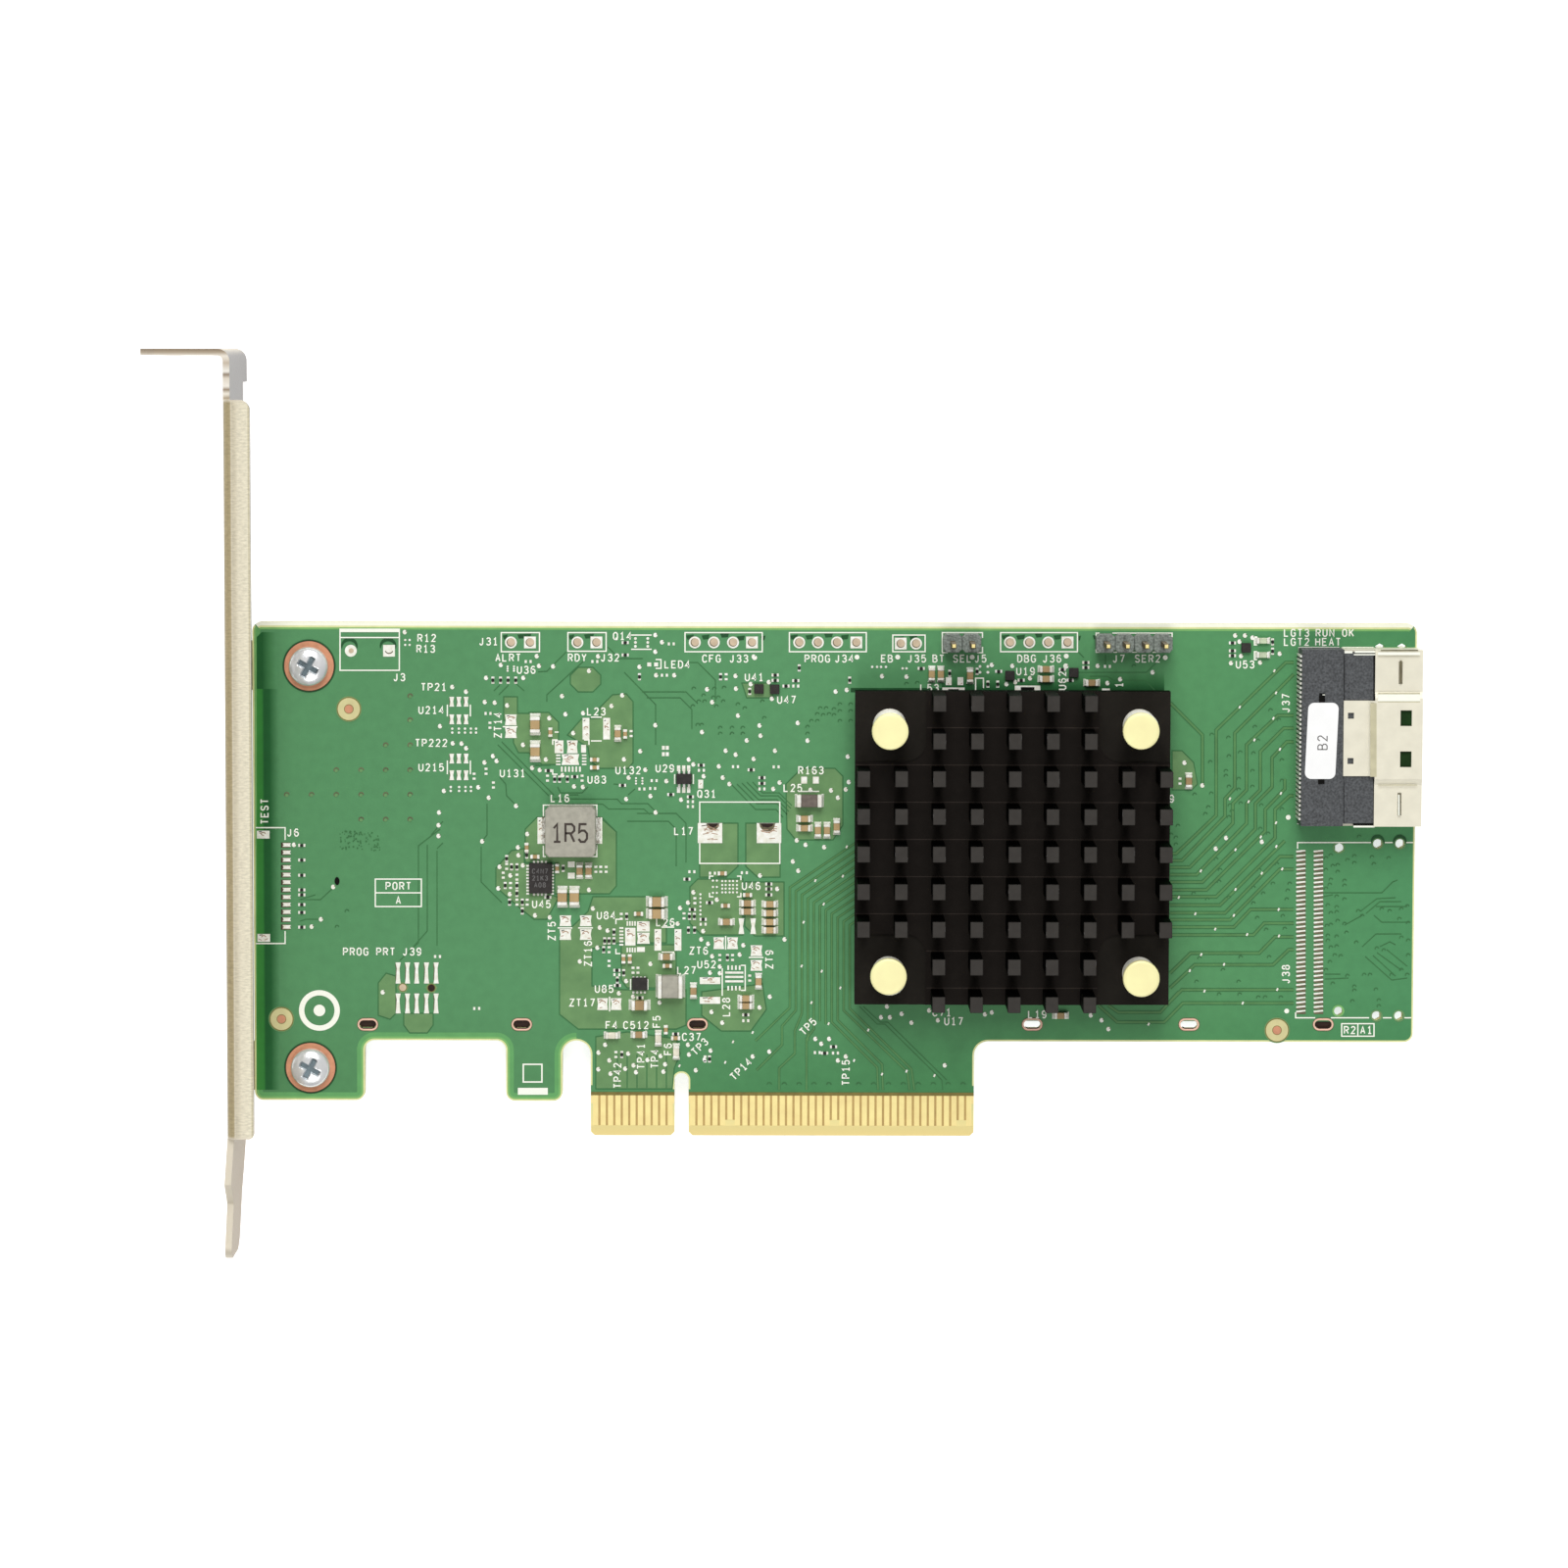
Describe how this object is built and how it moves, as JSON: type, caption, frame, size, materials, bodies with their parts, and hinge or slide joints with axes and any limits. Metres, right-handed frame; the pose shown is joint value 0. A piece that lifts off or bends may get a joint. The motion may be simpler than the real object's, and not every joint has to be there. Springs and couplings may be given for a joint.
{
  "type": "host bus adapter card",
  "caption": "Low-profile host bus adapter card on a full-height vented bracket, with a black pin-fin heat sink held by brass push pins and one cable port at its end.",
  "frame": {"origin": "middle of the key notch where it meets the finger edge, on the component face of the board", "axes": "+X from the bracket to the cable port, +Y from the finger edge to the top edge, +Z out of the component face"},
  "size_m": [0.1681, 0.12, 0.0216],
  "materials": {
    "solder_mask": "semi-gloss green solder mask",
    "gold": "plated gold",
    "zinc_steel": "zinc-plated, fine sparkle",
    "tinned": "tinned, satin",
    "pad_grey": "matt thermal pad",
    "black_anodised": "black anodised, satin",
    "brass": "turned brass",
    "grey_plastic": "moulded, fine grain",
    "nickel_shell": "plated sheet, satin",
    "label_white": "plain label",
    "ferrite_grey": "pressed powder, matt",
    "chip_black": "moulded package",
    "capacitor_tan": "ceramic body",
    "fuse_white": "ceramic body",
    "led_clear": "clear resin"
  },
  "bodies": {
    "root": {"circuit_board": "solder_mask", "edge_fingers_front": "gold", "edge_fingers_back": "gold", "bracket": "zinc_steel", "bracket_screws": "zinc_steel", "controller_substrate": "solder_mask", "controller_lid": "tinned", "thermal_pad": "pad_grey", "heat_sink": "black_anodised", "push_pins": "brass", "push_pin_springs": "zinc_steel", "port_housing": "grey_plastic", "port_shell": "nickel_shell", "port_contacts": "gold", "port_label": "label_white", "two_way_header_base": "grey_plastic", "two_way_header_pins": "gold", "four_way_header_base": "grey_plastic", "four_way_header_pins": "gold", "power_coil_core": "ferrite_grey", "power_coil_terminals": "tinned", "filter_coil_core": "ferrite_grey", "filter_coil_ends": "tinned", "bead_core": "ferrite_grey", "bead_ends": "tinned", "converter_chip": "chip_black", "switch_chip": "chip_black", "logic_chip": "chip_black", "logic_chip_leads": "tinned", "small_chips": "chip_black", "large_capacitors": "capacitor_tan", "large_capacitor_ends": "tinned", "medium_capacitors": "capacitor_tan", "medium_capacitor_ends": "tinned", "fuses": "fuse_white", "fuse_ends": "tinned", "leds": "led_clear", "led_ends": "tinned"}
  },
  "joints": []
}
